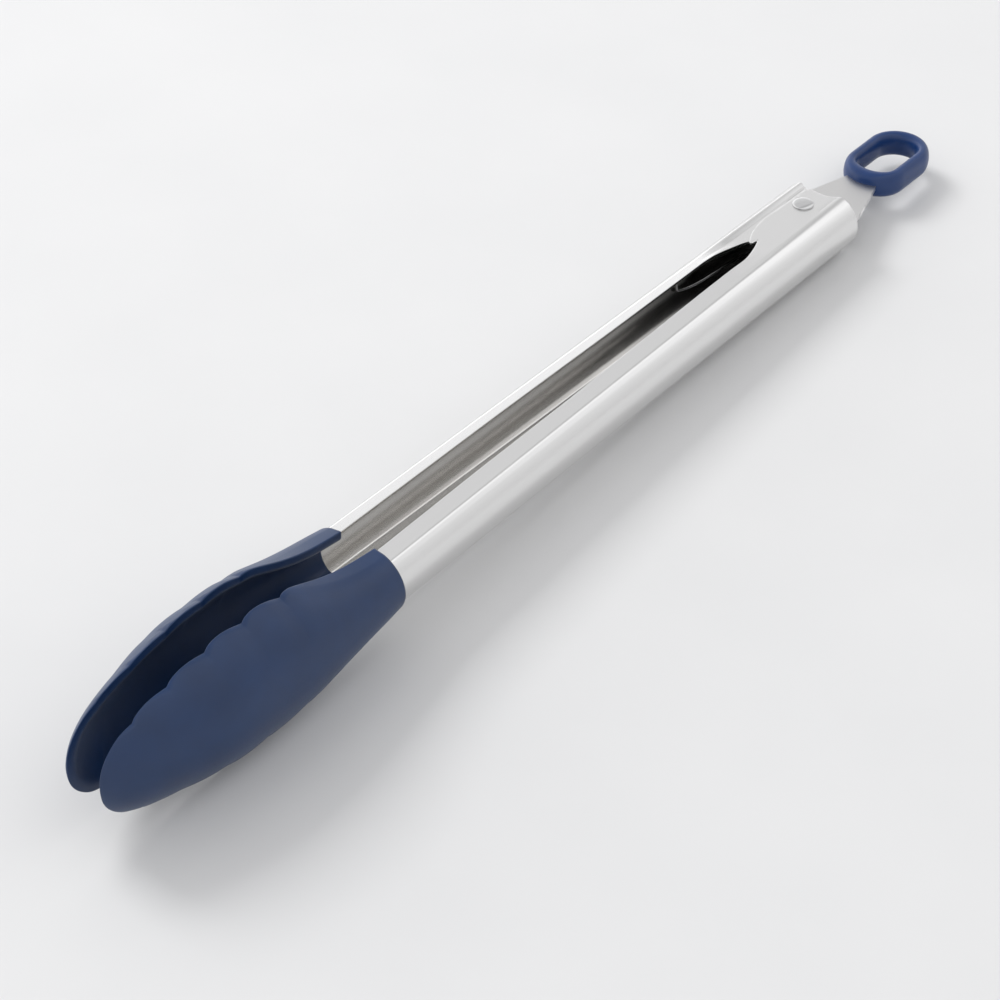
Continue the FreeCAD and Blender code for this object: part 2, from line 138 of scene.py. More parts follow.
# ----------------------------------------------------------- head sizes, in mm
# Sections of the head: place along it, rim's distance, half height and depth.
HEAD = np.array((
    (-199.0, 5.2, 9.6, 15.2),
    (-213.0, 5.3, 11.7, 16.5),
    (-223.0, 5.5, 14.9, 17.2),
    (-232.0, 5.7, 18.3, 17.5),
    (-245.0, 5.8, 19.9, 17.4),
    (-259.0, 5.6, 19.4, 17.1),
    (-273.0, 5.4, 17.1, 14.4),
    (-285.0, 5.3, 13.8, 11.4),
    (-292.0, 5.2, 9.7, 8.5),
    (-295.4, 5.1, 5.1, 6.2),
    (-296.3, 5.1, 0.0, 5.1),
))
HEAD_STEP = 0.4               # spacing of the outline's points
WALL = 3.0
FAN_CENTRE = -279.0           # the outline's rows fan out from here round the tip
RIM_ROUND, LINER_ROUND = 0.55, 1.4
RIM_BAND = 2.0                # width at the rim that has finer points
WIDE_POINTS, FINE_POINTS = 22, 7    # points over a face, and over a band or rounding
EDGE_STEP = 0.5               # height of the outer face above the rim at its edge

NOTCHES = (-285.0, -273.0, -260.4, -247.8, -234.5)
NOTCH_DEPTHS = (0.8, 1.0, 1.2, 1.3, 1.3)
TIP_SCALLOP, SLEEVE_SCALLOP = 9.0, 12.6     # lengths of the first and last scallops
SCALLOP_RISE, SCALLOP_FALL = 0.65, 1.2      # powers of a scallop's two slopes
SCALLOP_PEAK = 0.35           # share of its length at which a scallop is full
NOTCH_BLUR = 25               # points of the outline over which a notch is softened
RIM_LIFT = 0.35               # how far the rim rises at a notch, as a share of its depth
NOTCH_FADE = 10.0             # length over which the outer face sinks to a notch
NOTCH_EDGE = 1.8              # length over which it sinks the rest of the way
LINER_FILL = 0.3              # share of a notch that the liner's edge doesn't follow

# -------------------------------------------- pivot, spring and lock sizes, in mm
RIVET_SHANK = 2.0
RIVET_GAP = 0.02              # between a rivet head and the outer ear
RIVET_UNDERCUT = 0.08
# The rivet head's dome, as a share of its radius and the drop from its top.
DOME = ((0.0, 0.0), (0.35, 0.04), (0.7, 0.22), (0.9, 0.5), (1.0, 0.85))
DOME_STEP = 0.15

WIRE = 0.5                    # radius of the wire
WIRE_POINT = 0.4              # how far its ends bulge, as a share of that
NOT_ALONG_WIRE = (0.3, 0.2, 1.0)    # a direction that the wire never takes at its start
COIL = 3.4                    # radius of the wire's middle in the coils
COIL_LOW, COIL_PITCH, COIL_TURNS = 1.5, 1.04, 4.5
COIL_HIGH = COIL_LOW + COIL_PITCH * COIL_TURNS
LEG_LAP = 0.12                # turns of a coil that its leg starts with
COIL_POINTS, LAP_POINTS = 150, 8
LEG_STEP, BRIDGE_STEP = 0.8, 0.6
LEG_END = -46.5
REAR_LEG = ((-3.0, 3.62, 1.55), (-23.0, 7.4, 1.8), (LEG_END + 1.2, 11.05, 2.05),
            (LEG_END, 11.2, 1.7))
REAR_BRIDGE = (LEG_END - 0.25, 11.25, 0.0)
FRONT_LEG = ((-3.0, -3.62, COIL_HIGH), (-23.0, -7.5, COIL_HIGH * 0.7),
             (-44.0, -11.1, 2.2))

PLATE_CORNERS = ((-8.0, -5.0), (9.6, -11.55), (33.0, -4.8), (33.0, 4.8),
                 (9.6, 11.55), (-8.0, 5.0))
PLATE_ROUND = 0.6
PLATE_EDGE = 0.18
PLATE_RIM_STEP, PLATE_FILL_STEP = 1.4, 1.6  # spacing of the plate's points
SLOT = (-2.75, 12.75, 2.75)   # start, end and half width
SLOT_STEP = 0.7

RING_HALF, RING_WALL = 9.75, 4.0
RING_NEAR = 7.0               # length over which the ring widens towards the plate
RING_WIDER, RING_SHIFT = 1.6, 0.8   # how much wider, and how far its middle moves
RING_SQUARENESS = 2.35        # power of the wall's section; 2 would be an ellipse
RING_STEP, RING_SIDES = 0.35, 48    # spacing along the ring, and points round its wall
MOULD_LINE, MOULD_WIDTH = 0.05, 0.16    # the moulding line's height and width


# ------------------------------------------------------------------ mesh tools
def smooth_step(value, low, high):
    """0 below the low value, 1 above the high one, and an easy change between."""
    share = np.clip((np.asarray(value, float) - low) / (high - low), 0, 1)
    return share * share * (3 - 2 * share)


def spline(knots, values):
    """A smooth curve through the values: a natural cubic spline, as a function."""
    knots, values = np.asarray(knots, float), np.asarray(values, float)
    order = np.argsort(knots)
    knots, values = knots[order], values[order]
    step = np.diff(knots)
    slope = np.diff(values, axis=0) / step.reshape((-1,) + (1,) * (values.ndim - 1))
    matrix = np.eye(len(knots))
    right = np.zeros_like(values)
    for k in range(1, len(knots) - 1):
        matrix[k, k - 1:k + 2] = step[k - 1], 2 * (step[k - 1] + step[k]), step[k]
        right[k] = 6 * (slope[k] - slope[k - 1])
    bend = np.linalg.solve(matrix, right)

    def curve(at):
        at = np.asarray(at, float)
        k = np.clip(np.searchsorted(knots, at) - 1, 0, len(step) - 1)
        width, before, after = step[k], at - knots[k], knots[k + 1] - at
        if values.ndim > 1:
            width, before, after = width[..., None], before[..., None], after[..., None]
        return ((bend[k] * after ** 3 + bend[k + 1] * before ** 3) / (6 * width)
                + (values[k] / width - bend[k] * width / 6) * after
                + (values[k + 1] / width - bend[k + 1] * width / 6) * before)

    return curve


def curve_through(points, spacing):
    """Evenly spaced points on a smooth curve through a few points, both ends kept."""
    points = np.asarray(points, float)
    along = np.r_[0, np.cumsum(np.linalg.norm(np.diff(points, axis=0), axis=1))]
    count = max(2, int(round(along[-1] / spacing)) + 1)
    if len(points) == 2:
        share = np.linspace(0, 1, count)[:, None]
        return points[0] * (1 - share) + points[1] * share
    return spline(along, points)(np.linspace(0, along[-1], count))


def to_frame(points, turned=False):
    """Millimetres around the pivot to metres in the model's frame."""
    points = np.asarray(points, float) * MM
    if turned:
        points = points * (1, -1, -1)
    return points + PIVOT


def add_modifier(piece, kind, **settings):
    """A modifier of the given kind with its settings."""
    modifier = piece.modifiers.new(kind.title(), kind)
    for key, value in settings.items():
        setattr(modifier, key, value)


def new_piece(name, points, faces, turned=False, join=0.001):
    """A mesh object from points in mm and faces. Points closer than join become one."""
    mesh = bpy.data.meshes.new(name)
    mesh.from_pydata(to_frame(points, turned).tolist(), [], faces)
    mesh.validate()
    piece = bpy.data.objects.new(name, mesh)
    bpy.context.scene.collection.objects.link(piece)
    add_modifier(piece, "WELD", merge_threshold=join * MM)
    return piece


def finish_piece(piece, material, body, nodes=()):
    """Apply the modifiers, then give the piece its material, slot and body."""
    graph = bpy.context.evaluated_depsgraph_get()
    mesh = bpy.data.meshes.new_from_object(piece.evaluated_get(graph))
    mesh.validate()
    piece.modifiers.clear()
    piece.data = mesh
    mesh.name = piece.name
    mesh.materials.clear()
    mesh.materials.append(material)
    mesh.shade_smooth()
    add_modifier(piece, "WEIGHTED_NORMAL", weight=50)
    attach(piece, body)
    if nodes:
        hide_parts(*nodes)


def round_edges(piece, width, segments):
    """Round the sharp edges, width in mm."""
    add_modifier(piece, "BEVEL", width=width * MM, segments=segments,
                 limit_method="ANGLE", angle_limit=SHARP)


def grid_faces(rows, columns, first=0, closed=False):
    """Quads between neighbouring rows of points."""
    faces = []
    for row in range(rows - 1):
        for column in range(columns if closed else columns - 1):
            after = (column + 1) % columns
            here, above = first + row * columns, first + (row + 1) * columns
            faces.append((here + column, here + after, above + after, above + column))
    return faces


def grid_piece(name, points):
    """A piece from a rows by columns by 3 array of points, with closed rows."""
    faces = grid_faces(*points.shape[:2], closed=True)
    return new_piece(name, points.reshape(-1, 3), faces)


def inside(points, outline):
    """Which points lie inside a closed outline."""
    start, end = outline, np.roll(outline, -1, axis=0)
    x, y = points[:, 0, None], points[:, 1, None]
    crosses = (start[:, 1] > y) != (end[:, 1] > y)
    rise = np.where(end[:, 1] == start[:, 1], 1.0, end[:, 1] - start[:, 1])
    at = start[:, 0] + (y - start[:, 1]) * (end[:, 0] - start[:, 0]) / rise
    return (crosses & (x < at)).sum(axis=1) % 2 == 1


def fill(outline, hole, step):
    """Fine triangles inside an outline and outside its hole, as points and faces.

    The points inside lie on a staggered grid and keep clear of both outlines.
    """
    loops = [outline, hole]
    low, high = outline.min(axis=0), outline.max(axis=0)
    columns = np.arange(low[0] + step / 2, high[0], step)
    rows = np.arange(low[1] + step / 2, high[1], step)
    inner = np.array([(x + (step / 2 if k % 2 else 0), y)
                      for k, y in enumerate(rows) for x in columns])
    rim = np.concatenate(loops)
    gap = np.linalg.norm(inner[:, None] - rim[None], axis=2).min(axis=1)
    clear = (gap > step * CLEAR_SHARE) & inside(inner, outline) & ~inside(inner, hole)
    points, edges = [], []
    for loop in loops:
        first = len(points)
        points += loop.tolist()
        edges += [(first + k, first + (k + 1) % len(loop)) for k in range(len(loop))]
    points += inner[clear].tolist()
    corners, _, triangles, *_ = delaunay_2d_cdt(
        [Vector(point) for point in points], edges, [], 0, SAME_POINT)
    corners = np.array([tuple(corner) for corner in corners])
    triangles = np.array(triangles)
    middle = corners[triangles].mean(axis=1)
    return corners, triangles[inside(middle, outline) & ~inside(middle, hole)]


def ring_of(radius, count=48):
    """Points of a circle about the pivot."""
    turn = np.arange(count) * tau / count
    return np.stack((radius * np.cos(turn), radius * np.sin(turn)), axis=1)


# ------------------------------------------------------------------- steel arms
def channel_at(station):
    """Bend distance, bend height, back and flared edge height along the arm."""
    station = np.asarray(station, float)
    past_sleeve = np.minimum(station - SLEEVE_END, 0)
    first, second = CHANNEL[:2]
    slopes = (second - first) / (second[0] - first[0])
    return [np.interp(station, CHANNEL[:, 0], CHANNEL[:, k]) + past_sleeve * slopes[k]
            for k in range(1, CHANNEL.shape[1])]


def flange_height(station, across, ear):
    """Height of the outer face between the arm's edge and its bend."""
    bend, bend_up, _, mouth_up = channel_at(station)
    mouth = np.interp(station, *zip(*MOUTH))
    slope = (mouth_up - bend_up) / (bend - mouth)
    flared = bend_up + slope * (bend - across)
    past_knee = np.clip((across - KNEES[ear]) / (bend - KNEES[ear]), 0, 1)
    flat = ear + (bend_up - ear) * past_knee
    share = smooth_step(station, FLARE_START, EAR_START)
    return flared * (1 - share) + flat * share


def rounded(before, corner, after, cut, count):
    """Points of a rounded corner that starts and ends the cut away from it."""
    before, corner, after = (np.asarray(point, float) for point in (before, corner, after))
    start = corner + (before - corner) * min(1, cut / np.linalg.norm(before - corner))
    end = corner + (after - corner) * min(1, cut / np.linalg.norm(after - corner))
    share = np.linspace(0, 1, count)[:, None]
    return start * (1 - share) ** 2 + corner * 2 * share * (1 - share) + end * share ** 2


def seam_at(station):
    """Where the flat inner part of a flange joins the bent part."""
    return SEAM + max(0.0, EDGE_START - station) * SEAM_DRIFT


def channel_outline(station, ear):
    """Half a section of the bent channel, from the seam round to the middle."""
    bend, bend_up, back, _ = (float(value) for value in channel_at(station))
    seam_across = seam_at(station)
    knee_across = max(KNEES[ear], seam_across + KNEE_GAP)
    seam = (seam_across, float(flange_height(station, seam_across, ear)))
    knee = (knee_across, float(flange_height(station, knee_across, ear)))
    rise = back - bend
    radius = (rise ** 2 + bend_up ** 2) / (2 * rise)
    centre = back - radius
    turn = np.linspace(np.arctan2(bend_up, bend - centre), 0, ARC_POINTS)
    arc = np.stack((centre + radius * np.cos(turn), radius * np.sin(turn)), axis=1)
    arc = arc[ARC_SKIP:]
    knee_arc = rounded(seam, knee, (bend, bend_up), KNEE_CUT, KNEE_POINTS)
    bend_arc = rounded(knee, (bend, bend_up), arc[0], BEND_CUT, BEND_POINTS)
    return np.concatenate(([seam], knee_arc, bend_arc, arc))


def channel_grid(along, ear):
    """Rows of points round the bent channel, whose back reaches the arm's tail."""
    rows = []
    for station in along:
        half = channel_outline(station, ear)
        whole = np.concatenate((half, (half * (1, -1))[-2::-1]))
        stretch = (TAIL - EAR_END) * max(0.0, station / EAR_END)
        place = station + stretch * smooth_step(whole[:, 0], SEAM - 1, BACK_FULL)
        rows.append(np.column_stack((place, whole)))
    return np.array(rows)


def flange_grid(along, edge, ear):
    """Rows of points from the flange's free edge to the seam."""
    rows = []
    for station in along:
        inner = np.interp(station, *zip(*edge))
        across = np.linspace(inner, seam_at(station), STRIP_POINTS)
        place = np.full(STRIP_POINTS, station)
        rows.append(np.column_stack((place, across, flange_height(station, across, ear))))
    return np.array(rows)


def ear_lobe(along, outline, joint, ear):
    """Points and triangles of an ear, which starts at the joint with the flange."""
    loop = [curve_through(stretch, EAR_RIM_STEP)[:-1] for stretch in outline]
    loop.append(np.stack((along[::-1], np.full(len(along), SEAM)), axis=1))
    loop.append(np.stack((np.full(len(joint) - 2, EDGE_START), joint[-2:0:-1]), axis=1))
    hole = ring_of(PIVOT_HOLE)
    flat, triangles = fill(np.concatenate(loop), hole, EAR_FILL_STEP)
    return np.column_stack((flat, flange_height(flat[:, 0], flat[:, 1], ear))), triangles


def make_arm(name, ear, edge, outline, material, body, node, turned):
    """Sheet steel arm: two flanges with ears, and the bent channel between them."""
    ear_along = np.linspace(EDGE_START, EAR_END, EAR_ROWS)
    flange_along = np.linspace(ARM_END, EDGE_START, FLANGE_ROWS)
    channel = channel_grid(np.r_[flange_along, ear_along[1:]], ear)
    strip = flange_grid(flange_along, edge, ear)
    lobe, triangles = ear_lobe(ear_along, outline, strip[-1, :, 1], ear)

    points = [channel.reshape(-1, 3)]
    faces = [face[::-1] for face in grid_faces(*channel.shape[:2])]
    count = len(points[0])
    for side in (1, -1):
        for patch, patch_faces in ((strip, grid_faces(*strip.shape[:2])),
                                   (lobe, triangles)):
            flip = (side < 0) == (patch is lobe)
            points.append(patch.reshape(-1, 3) * (1, 1, side))
            faces += [tuple(int(k) + count for k in (face[::-1] if flip else face))
                      for face in patch_faces]
            count += len(points[-1])
    arm = new_piece(name, np.concatenate(points), faces, turned, join=0.002)
    add_modifier(arm, "SOLIDIFY", thickness=STEEL * MM, offset=-1, use_even_offset=True)
    round_edges(arm, EDGE_ROUND, 3)
    finish_piece(arm, material, body, [node])


# ---------------------------------------------------------------- silicone heads
def head_outline(spacing):
    """The upper half of the head's outline, from the sleeve round to the tip."""
    along, high = HEAD[:, 0], HEAD[:, 2]
    step = np.r_[0, np.cumsum(np.hypot(np.diff(along), np.diff(high)))]
    both = np.column_stack((np.r_[along, along[-2::-1]], np.r_[high, -high[-2::-1]]))
    length = step[-1]
    knots = np.r_[step, 2 * length - step[-2::-1]]
    curve = spline(knots, both)
    return curve(np.linspace(0, length, int(length / spacing) + 1))


def notch_at(station):
    """How far the scalloped rim lies inside the head's outline.

    Each scallop rises steeply from the notch nearer to the tip, is full at a third
    of its length, and then slopes gently to the next notch.
    """
    ends = (NOTCHES[0] - TIP_SCALLOP,) + NOTCHES + (NOTCHES[-1] + SLEEVE_SCALLOP,)
    if not ends[0] < station < ends[-1]:
        return 0.0
    k = int(np.searchsorted(ends, station)) - 1
    share = (station - ends[k]) / (ends[k + 1] - ends[k])
    full = SCALLOP_PEAK ** SCALLOP_RISE * (1 - SCALLOP_PEAK) ** SCALLOP_FALL
    scallop = share ** SCALLOP_RISE * (1 - share) ** SCALLOP_FALL / full
    if k == 0:
        return NOTCH_DEPTHS[0] * (1 - scallop) * float(share > SCALLOP_PEAK)
    if k == len(NOTCHES):
        return NOTCH_DEPTHS[-1] * (1 - scallop) * float(share < SCALLOP_PEAK)
    depth = NOTCH_DEPTHS[k - 1] * (1 - share) + NOTCH_DEPTHS[k] * share
    return depth * (1 - scallop)


def head_surface():
    """Two functions: the outer face's distance from the middle plane at any place on
    the head, and the rim's distance at any place along it."""
    root = np.sqrt(HEAD[:, 0] - HEAD[-1, 0])
    table = spline(root, HEAD[:, 1:])

    def section(along):
        return table(np.sqrt(np.maximum(along - HEAD[-1, 0], 0)))

    def surface(along, up):
        rim, high, deep = np.moveaxis(section(along), -1, 0)
        rise = np.maximum(deep - rim, TINY)
        high = np.maximum(high, TINY)
        radius = (high ** 2 + rise ** 2) / (2 * rise)
        return deep - radius + np.sqrt(np.maximum(radius ** 2 - up ** 2, 0))

    return surface, lambda along: section(along)[..., 0]


def head_row(surface, centre, ahead, length, reach, rim, lift, soft_lift):
    """Points from the centre over the outer face, round the rim and along the liner.

    The length goes to the head's outline, the reach to its scalloped rim. The lifts
    are the drop from the smooth outer face to the rim, and the same drop softened.
    """
    deep = float(surface(*centre))
    inner_reach = reach - WALL + (length - reach) * LINER_FILL

    def outer(distance):
        return float(surface(*(centre + ahead * distance)))

    def point(distance, across):
        place = centre + ahead * distance
        return np.array((place[0], across, place[1]))

    def outside(distance):
        dip = soft_lift * float(smooth_step(distance, reach - NOTCH_FADE, reach))
        dip += (lift - soft_lift) * float(smooth_step(distance, reach - NOTCH_EDGE, reach))
        return point(distance, outer(distance) - dip)

    def liner(distance):
        across = outer(distance / inner_reach * length)
        across -= WALL * (across - rim) / max(deep - rim, TINY)
        return point(distance, across)

    wide = np.linspace(0, reach - RIM_BAND, WIDE_POINTS)[:-1]
    fine = np.linspace(reach - RIM_BAND, reach - RIM_ROUND, FINE_POINTS)
    row = [outside(distance) for distance in (*wide, *fine)]
    row += list(rounded(row[-1], point(reach, rim), point(reach - WALL, rim),
                        RIM_ROUND, FINE_POINTS)[1:])
    row += list(rounded(point(reach - RIM_ROUND, rim), point(inner_reach, rim),
                        liner(inner_reach - LINER_ROUND), LINER_ROUND, FINE_POINTS))
    row += [liner(distance) for distance in
            np.linspace(inner_reach - LINER_ROUND, 0, WIDE_POINTS)[1:]]
    return row


def head_grid():
    """The rows of the head's upper half, from the sleeve round to the tip."""
    surface, rim_at = head_surface()
    ends = head_outline(HEAD_STEP)
    centres = np.column_stack((np.maximum(ends[:, 0], FAN_CENTRE), np.zeros(len(ends))))
    lengths = np.linalg.norm(ends - centres, axis=1)
    ahead = (ends - centres) / lengths[:, None]
    notches = np.array([notch_at(station) for station in ends[:, 0]])
    reaches = lengths - notches
    rims = rim_at(ends[:, 0]) + RIM_LIFT * notches
    edges = centres + ahead * reaches[:, None]
    lifts = np.maximum(0.0, surface(edges[:, 0], edges[:, 1]) - rims - EDGE_STEP)
    blur = np.hanning(NOTCH_BLUR) / np.hanning(NOTCH_BLUR).sum()
    soft = np.convolve(np.pad(lifts, NOTCH_BLUR // 2, mode="edge"), blur, "valid")
    return np.array([head_row(surface, *values) for values in
                     zip(centres, ahead, lengths, reaches, rims, lifts, soft)])


def make_head(name, material, body, node, turned):
    """Silicone scoop: a shell with a rounded, scalloped rim and an inner liner."""
    half = head_grid()
    rows, columns = half.shape[:2]
    count = rows * columns

    def mirrored(patch):
        return [tuple(count + k for k in face[::-1]) for face in patch]

    quads = grid_faces(rows, columns)
    sleeve_end = [(k, columns - 1 - k, columns - 2 - k, k + 1)
                  for k in range(columns // 2)]
    faces = quads + mirrored(quads) + sleeve_end + mirrored(sleeve_end)
    points = np.concatenate((half.reshape(-1, 3), (half * (1, 1, -1)).reshape(-1, 3)))
    head = new_piece(name, points, faces, turned, join=0.005)
    finish_piece(head, material, body, [node])


# --------------------------------------------------------- pivot, spring and lock
def lathe(name, profile, count=64):
    """A round piece about the pivot from (radius, height) points."""
    profile = np.asarray(profile, float)
    turn = np.arange(count) * tau / count
    points = np.zeros((len(profile), count, 3))
    points[:, :, 0] = profile[:, 0, None] * np.cos(turn)
    points[:, :, 1] = profile[:, 0, None] * np.sin(turn)
    points[:, :, 2] = profile[:, 1, None]
    return grid_piece(name, points)


def make_rivet(material):
    """Rivet with a low dome at each end, whose edge is softly rounded."""
    _, high = reach_of("pivot_rivet")
    head, top = high[0], high[2]
    under = FRONT_EAR + RIVET_GAP
    dome = [(head * share, top - drop) for share, drop in DOME]
    dome.append((head - RIVET_UNDERCUT, under))
    half = np.concatenate((curve_through(dome, DOME_STEP), [(RIVET_SHANK, under)]))
    profile = np.concatenate((half, (half * (1, -1))[::-1]))
    rivet = lathe("pivot_rivet_polished", profile)
    finish_piece(rivet, material, "pivot", ["pivot_rivet"])


def tube(path, radius, sides=12):
    """Rings of points round a wire's path, with closed ends."""
    path = np.asarray(path, float)
    ahead = np.gradient(path, axis=0)
    ahead /= np.linalg.norm(ahead, axis=1)[:, None]
    side = np.cross(ahead[0], NOT_ALONG_WIRE)
    rings = []
    turn = np.arange(sides) * tau / sides
    for place, forward in zip(path, ahead):
        side = side - forward * side.dot(forward)
        side /= np.linalg.norm(side)
        other = np.cross(forward, side)
        rings.append(place + radius * (np.cos(turn)[:, None] * side
                                       + np.sin(turn)[:, None] * other))
    bulge = radius * WIRE_POINT
    start = np.repeat(path[:1] - ahead[:1] * bulge, sides, axis=0)
    end = np.repeat(path[-1:] + ahead[-1:] * bulge, sides, axis=0)
    return np.array([start] + rings + [end])


def wire_piece(name, paths):
    """One piece of the spring's wire, made of one or more paths."""
    points, faces, count = [], [], 0
    for path in paths:
        skin = tube(path, WIRE)
        points.append(skin.reshape(-1, 3))
        faces += grid_faces(*skin.shape[:2], first=count, closed=True)
        count += len(points[-1])
    return new_piece(name, np.concatenate(points), faces)


def coil_points(start, end, side, count):
    """Points of a coil between two angles in turns from the rear leg's tangent."""
    turn = np.linspace(start, end, count)
    angle = pi / 2 - turn * tau
    return np.column_stack((COIL * np.cos(angle), COIL * np.sin(angle),
                            side * (COIL_LOW + COIL_PITCH * turn)))


def leg_points(lap, places, side):
    """A leg through the given places, which starts with a lap of its coil."""
    places = [(along, across, side * up) for along, across, up in places]
    leg = curve_through((lap[-1], *places), LEG_STEP)
    return np.concatenate((lap[:-1], leg))


def make_spring(material):
    """Double torsion spring: two coils, a bridged pair of rear legs, two front legs."""
    sides = (1, -1)
    coils = [coil_points(0.0, COIL_TURNS, side, COIL_POINTS) for side in sides]
    body = wire_piece("torsion_spring_coils", coils)
    finish_piece(body, material, "pivot", ["torsion_spring"])

    upper, lower = (leg_points(coil_points(LEG_LAP, 0.0, side, LAP_POINTS), REAR_LEG,
                               side) for side in sides)
    bridge = curve_through((upper[-1], REAR_BRIDGE, lower[-1]), BRIDGE_STEP)
    rear = np.concatenate((upper, bridge[1:-1], lower[::-1]))
    finish_piece(wire_piece("torsion_spring_rear_legs", [rear]), material,
                 "rear")

    lap_start = COIL_TURNS - LEG_LAP
    fronts = [leg_points(coil_points(lap_start, COIL_TURNS, side, LAP_POINTS), FRONT_LEG,
                         side) for side in sides]
    finish_piece(wire_piece("torsion_spring_front_legs", fronts), material,
                 "front")


def stadium(start, end, half, spacing):
    """A closed outline of two straight sides and two half-round ends."""
    turn = np.linspace(-pi / 2, pi / 2, max(8, int(pi * half / spacing)))
    right = np.column_stack((end - half + half * np.cos(turn), half * np.sin(turn)))
    straight = max(2, int((end - start - 2 * half) / spacing))
    across = np.linspace(end - half, start + half, straight + 1)[1:]
    top = np.column_stack((across, np.full(len(across), half)))
    whole = np.concatenate((right, top))
    other = (whole - ((start + end) / 2, 0)) * (-1, -1) + ((start + end) / 2, 0)
    return np.concatenate((whole[:-1], other[:-1]))


def make_plate(material):
    """The flat wedge plate with its slot and softened edges."""
    _, high = reach_of("lock_plate")
    outline = []
    for k, corner in enumerate(PLATE_CORNERS):
        before, after = PLATE_CORNERS[k - 1], PLATE_CORNERS[(k + 1) % len(PLATE_CORNERS)]
        outline.append(rounded(before, corner, after, PLATE_ROUND, KNEE_POINTS))
        edge = np.array(corner) - after
        end = np.array(after) + edge * PLATE_ROUND / np.linalg.norm(edge)
        outline.append(curve_through((outline[-1][-1], end), PLATE_RIM_STEP)[1:-1])
    slot = stadium(*SLOT, SLOT_STEP)
    flat, triangles = fill(np.concatenate(outline), slot, PLATE_FILL_STEP)
    points = np.column_stack((flat, np.full(len(flat), high[2])))
    plate = new_piece("lock_plate_wedge", points,
                      [tuple(int(k) for k in face) for face in triangles])
    add_modifier(plate, "SOLIDIFY", thickness=high[2] * 2 * MM, offset=-1)
    round_edges(plate, PLATE_EDGE, 2)
    finish_piece(plate, material, "lock", ["lock_plate"])


def make_ring(material):
    """The silicone ring moulded on the plate's end, with its moulding line."""
    low, high = reach_of("hang_ring")
    start, end = low[0], high[0]
    path = stadium(start + RING_WALL / 2, end - RING_WALL / 2, RING_HALF - RING_WALL / 2,
                   RING_STEP)
    nearness = smooth_step(-path[:, 0], -start - RING_NEAR, -start)
    widths = RING_WALL + RING_WIDER * nearness
    path[:, 0] += RING_SHIFT * nearness
    ahead = np.roll(path, -1, axis=0) - np.roll(path, 1, axis=0)
    outward = np.column_stack((ahead[:, 1], -ahead[:, 0]))
    outward /= np.linalg.norm(outward, axis=1)[:, None]
    turn = np.arange(RING_SIDES) * tau / RING_SIDES
    power = 2 / RING_SQUARENESS
    across = np.sign(np.cos(turn)) * np.abs(np.cos(turn)) ** power / 2
    up = np.sign(np.sin(turn)) * np.abs(np.sin(turn)) ** power * high[2]
    line = MOULD_LINE * np.exp(-(up / MOULD_WIDTH) ** 2) * np.sign(across)
    reach = widths[:, None] * across + line
    points = np.zeros((len(path), len(turn), 3))
    points[:, :, :2] = path[:, None] + outward[:, None] * reach[:, :, None]
    points[:, :, 2] = up
    closed = np.concatenate((points, points[:1]))
    ring = grid_piece("hang_ring_loop", closed)
    finish_piece(ring, material, "lock", ["hang_ring"])


# --------------------------------------------------------------------- materials
NOISE_LOW, NOISE_HIGH = 0.3, 0.7    # most noise values lie between these
BRUSHED_SHADE, BRUSHED_SPREAD = 0.985, 0.01     # of the steel's colour and roughness
CLOUD_SIZES, CLOUD_DEPTH = (9.0, 9.0, 9.0), 0.1     # of the silicone's colour
MATT_SIZES, MATT_SPREAD, MATT_HEIGHT = (0.22, 0.22, 0.22), 0.05, 0.006

# Painted shade: the arms' faces that look inwards get a darker colour, and a much darker
# one near the pivot, in place of the shade inside the channel.
# An arm's face belongs to its inside when it looks towards the middle of the tongs.
# The measure is the face's distance from the pivot in mm, counted along its normal.
INSIDE_FROM, INSIDE_FULL = -2.0, -6.0
INSIDE_WEIGHTS = (0.0, 1.0, 0.1)    # shares of the distances along, across and up
SHADE_FROM, SHADE_FULL = -75.0, -38.0   # where along the arm the painted shade on the inside deepens
# colours of the painted shade on the inside, and of the deeper painted shade near the
# pivot
INSIDE_SHADE_STEEL, PIVOT_SHADE_STEEL = (0.72, 0.705, 0.68, 1.0), (0.10, 0.098, 0.095, 1.0)


def new_material(name, colour, roughness, metallic=0.0):
    """A material, its node tree and its shader node with plain values."""
    material = bpy.data.materials.new(name)
    material.use_nodes = True
    shader = material.node_tree.nodes["Principled BSDF"]
    shader.inputs["Base Color"].default_value = (*colour, 1.0)
    shader.inputs["Roughness"].default_value = roughness
    shader.inputs["Metallic"].default_value = metallic
    return material, material.node_tree, shader


def add_node(tree, kind, values=None, **settings):
    """A shader node with its settings and the values of its unlinked inputs."""
    node = tree.nodes.new("ShaderNode" + kind)
    for key, value in settings.items():
        setattr(node, key, value)
    for key, value in (values or {}).items():
        node.inputs[key].default_value = value
    return node


def grain(tree, sizes, detail=2.0):
    """Noise whose features have the given sizes in mm along, across and up."""
    place = add_node(tree, "TexCoord")
    scale = add_node(tree, "Mapping", {"Scale": [1 / (size * MM) for size in sizes]})
    noise = add_node(tree, "TexNoise", {"Scale": 1.0, "Detail": detail})
    tree.links.new(place.outputs["Object"], scale.inputs["Vector"])
    tree.links.new(scale.outputs["Vector"], noise.inputs["Vector"])
    return noise.outputs["Fac"]


def spread(tree, value, low, high):
    """Map noise to a range."""
    node = add_node(tree, "MapRange", {"From Min": NOISE_LOW, "From Max": NOISE_HIGH,
                                       "To Min": low, "To Max": high})
    tree.links.new(value, node.inputs["Value"])
    return node.outputs["Result"]


def tint(tree, value, dark, light):
    """A colour between two, chosen by noise."""
    ramp = add_node(tree, "ValToRGB")
    first, last = ramp.color_ramp.elements
    first.position, last.position = NOISE_LOW, NOISE_HIGH
    first.color, last.color = (*dark, 1.0), (*light, 1.0)
    tree.links.new(value, ramp.inputs["Fac"])
    return ramp.outputs["Color"]


